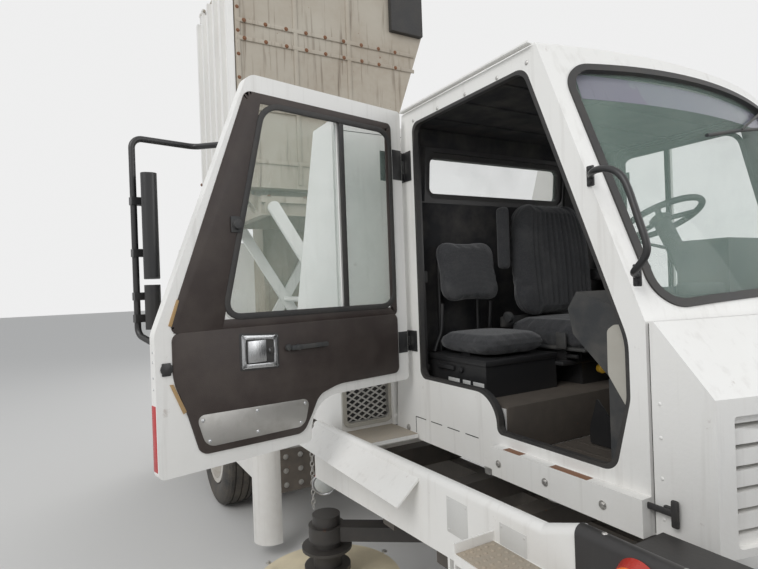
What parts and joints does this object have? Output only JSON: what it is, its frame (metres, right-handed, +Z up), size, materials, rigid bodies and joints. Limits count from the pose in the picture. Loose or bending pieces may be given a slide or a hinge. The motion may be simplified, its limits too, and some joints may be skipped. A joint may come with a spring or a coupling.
{
  "type": "street sweeper truck",
  "caption": "Cab-forward street sweeper with main and gutter brooms, a conveyor and a hopper on a scissor lift, raised and able to tip sideways, with one cab door open",
  "frame": {"origin": "on the road, on the centre plane, halfway between the axles", "axes": "+X forward, +Y to the driver's left, +Z up"},
  "size_m": [6.7658, 3.8031, 4.5599],
  "materials": {
    "white_paint": "semi-gloss paint with road film",
    "beige_paint": "dusty satin paint",
    "black_paint": "satin black paint",
    "dark_steel": "matte chassis paint with dust",
    "rim_white": "satin paint with dirt",
    "worn_steel": "bright worn steel",
    "tyre_rubber": "dusty tread rubber",
    "black_rubber": "matte seal rubber",
    "seat_fabric": "charcoal woven cloth",
    "black_plastic": "grained moulded plastic",
    "cream_broom": "cream broom filament and disc",
    "tinted_glass": "green tinted safety glass",
    "lamp_red": "ribbed lens",
    "cast": "rough casting"
  },
  "bodies": {
    "chassis": {"frame_rails": "dark_steel", "crossmembers": "dark_steel", "outriggers": "dark_steel", "lift_base": "dark_steel", "axle_front": "cast", "axle_rear": "cast", "engine": "cast", "engine_hood": "white_paint", "cab_floor": "white_paint", "cab_frame": "white_paint", "cab_roof": "white_paint", "cab_glass": "tinted_glass", "cab_seals": "black_rubber", "nose": "white_paint", "dash": "black_plastic", "driver_seat": "seat_fabric", "jump_seat": "seat_fabric", "seat_frames": "black_paint", "cabinets": "white_paint", "intake_grilles": "worn_steel", "side_beams": "white_paint", "front_bumper": "black_paint", "lamps": "lamp_red", "conveyor": "beige_paint", "rear_body": "white_paint", "side_boxes": "white_paint"},
    "knuckle_right": {"knuckle_right": "cast"},
    "knuckle_left": {"knuckle_left": "cast"},
    "tie_rod": {"tie_rod": "dark_steel"},
    "front_wheel_right": {"front_tyre_right": "tyre_rubber", "front_rim_right": "rim_white"},
    "front_wheel_left": {"front_tyre_left": "tyre_rubber", "front_rim_left": "rim_white"},
    "rear_wheels_right": {"rear_tyres_right": "tyre_rubber", "rear_rims_right": "rim_white"},
    "rear_wheels_left": {"rear_tyres_left": "tyre_rubber", "rear_rims_left": "rim_white"},
    "door_right": {"door_right": "white_paint", "door_glass_right": "tinted_glass", "mirror_right": "black_paint"},
    "door_left": {"door_left": "white_paint", "door_glass_left": "tinted_glass", "mirror_left": "black_paint"},
    "steering_wheel": {"steering_wheel": "black_plastic"},
    "scissor_outer": {"scissor_outer": "white_paint"},
    "scissor_inner": {"scissor_inner": "white_paint"},
    "lift_table": {"lift_table": "beige_paint"},
    "hopper": {"hopper": "beige_paint"},
    "dump_door": {"dump_door": "white_paint"},
    "lift_cylinders": {"lift_cylinders": "black_paint"},
    "lift_rods": {"lift_rods": "worn_steel"},
    "dump_cylinders": {"dump_cylinders": "black_paint"},
    "dump_rods": {"dump_rods": "worn_steel"},
    "main_broom": {"main_broom": "cream_broom"},
    "gutter_arm_right": {"gutter_arm_right": "black_paint"},
    "gutter_arm_left": {"gutter_arm_left": "black_paint"},
    "gutter_broom_right": {"gutter_broom_right": "cream_broom"},
    "gutter_broom_left": {"gutter_broom_left": "cream_broom"}
  },
  "joints": [
    {"name": "steering", "type": "hinge", "parent": "chassis", "child": "steering_wheel", "pos_m": [1.2, 0.12, 2.157], "axis": [-0.4226, 0, 0.9063], "range_deg": [-450, 450]},
    {"name": "steer_right", "type": "hinge", "parent": "chassis", "child": "knuckle_right", "pos_m": [2.225, -0.88, 0.5], "axis": [0, 0, 1], "range_deg": [-32.01, 32.01]},
    {"name": "steer_left", "type": "hinge", "parent": "chassis", "child": "knuckle_left", "pos_m": [2.225, 0.88, 0.5], "axis": [0, 0, 1], "range_deg": [-32.01, 32.01]},
    {"name": "tie_rod_turn", "type": "hinge", "parent": "knuckle_right", "child": "tie_rod", "pos_m": [2.065, -0.88, 0.368], "axis": [0, 0, 1], "range_deg": [-32.01, 32.01]},
    {"name": "front_wheel_right_spin", "type": "hinge", "parent": "knuckle_right", "child": "front_wheel_right", "pos_m": [2.225, -1.0825, 0.5], "axis": [0, 1, 0], "continuous": true},
    {"name": "front_wheel_left_spin", "type": "hinge", "parent": "knuckle_left", "child": "front_wheel_left", "pos_m": [2.225, 1.0825, 0.5], "axis": [0, 1, 0], "continuous": true},
    {"name": "rear_wheels_right_spin", "type": "hinge", "parent": "chassis", "child": "rear_wheels_right", "pos_m": [-2.225, -1.0825, 0.5], "axis": [0, 1, 0], "continuous": true},
    {"name": "rear_wheels_left_spin", "type": "hinge", "parent": "chassis", "child": "rear_wheels_left", "pos_m": [-2.225, 1.0825, 0.5], "axis": [0, 1, 0], "continuous": true},
    {"name": "door_right_swing", "type": "hinge", "parent": "chassis", "child": "door_right", "pos_m": [0.43, -0.822, 2], "axis": [0, 0, -1], "range_deg": [-78, 7]},
    {"name": "door_left_swing", "type": "hinge", "parent": "chassis", "child": "door_left", "pos_m": [0.43, 0.822, 2], "axis": [0, 0, 1], "range_deg": [0, 85]},
    {"name": "lift", "type": "hinge", "parent": "chassis", "child": "scissor_outer", "pos_m": [-1.89, -0.87, 1.045], "axis": [1, 0, 0], "range_deg": [-52.46, 0]},
    {"name": "lift_cross", "type": "hinge", "parent": "scissor_outer", "child": "scissor_inner", "pos_m": [-1.89, -0.41109, 1.79], "axis": [1, 0, 0], "range_deg": [0, 104.98]},
    {"name": "lift_table_level", "type": "hinge", "parent": "scissor_inner", "child": "lift_table", "pos_m": [-1.89, -0.87, 2.535], "axis": [1, 0, 0], "range_deg": [-52.51, 0]},
    {"name": "lift_cylinder_turn", "type": "hinge", "parent": "chassis", "child": "lift_cylinders", "pos_m": [-1.6, 0.9, 0.935], "axis": [1, 0, 0], "range_deg": [0, 22.86]},
    {"name": "lift_rod_slide", "type": "slide", "parent": "lift_cylinders", "child": "lift_rods", "axis": [0, -0.86, 0.5102], "range_m": [-0.6837, 0]},
    {"name": "dump", "type": "hinge", "parent": "lift_table", "child": "hopper", "pos_m": [-1.89, -1.04, 2.655], "axis": [1, 0, 0], "range_deg": [0, 50]},
    {"name": "dump_door_swing", "type": "hinge", "parent": "hopper", "child": "dump_door", "pos_m": [-1.89, -1.16, 4.41], "axis": [-1, 0, 0], "range_deg": [0, 70]},
    {"name": "dump_cylinder_turn", "type": "hinge", "parent": "lift_table", "child": "dump_cylinders", "pos_m": [-1.89, 0.72, 2.56], "axis": [1, 0, 0], "range_deg": [-27.84, 0]},
    {"name": "dump_rod_slide", "type": "slide", "parent": "dump_cylinders", "child": "dump_rods", "axis": [0, -0.9985, 0.0543], "range_m": [0, 0.46134]},
    {"name": "main_broom_spin", "type": "hinge", "parent": "chassis", "child": "main_broom", "pos_m": [-3.4, 0, 0.47], "axis": [0, 1, 0], "continuous": true},
    {"name": "gutter_arm_right_swing", "type": "hinge", "parent": "chassis", "child": "gutter_arm_right", "pos_m": [0.62, -0.64, 0.675], "axis": [0, 0, 1], "range_deg": [-10, 25]},
    {"name": "gutter_arm_left_swing", "type": "hinge", "parent": "chassis", "child": "gutter_arm_left", "pos_m": [0.62, 0.64, 0.675], "axis": [0, 0, -1], "range_deg": [-10, 25]},
    {"name": "gutter_broom_right_spin", "type": "hinge", "parent": "gutter_arm_right", "child": "gutter_broom_right", "pos_m": [0.22, -1.2, 0.42], "axis": [0, 0, 1], "continuous": true},
    {"name": "gutter_broom_left_spin", "type": "hinge", "parent": "gutter_arm_left", "child": "gutter_broom_left", "pos_m": [0.22, 1.2, 0.42], "axis": [0, 0, 1], "continuous": true}
  ],
  "couplings": [
    {"joint": "steer_right", "follows": "steering", "ratio": 0.071111},
    {"joint": "steer_left", "follows": "steering", "ratio": 0.071111},
    {"joint": "tie_rod_turn", "follows": "steering", "ratio": -0.071111},
    {"joint": "lift_cross", "follows": "lift", "ratio": -2},
    {"joint": "lift_table_level", "follows": "lift", "ratio": 1},
    {"joint": "lift_cylinder_turn", "follows": "lift", "ratio": -0.43476},
    {"joint": "lift_rod_slide", "follows": "lift", "m_per_rad": 0.74558},
    {"joint": "dump_cylinder_turn", "follows": "dump", "ratio": -0.55578},
    {"joint": "dump_rod_slide", "follows": "dump", "m_per_rad": 0.52751}
  ]
}
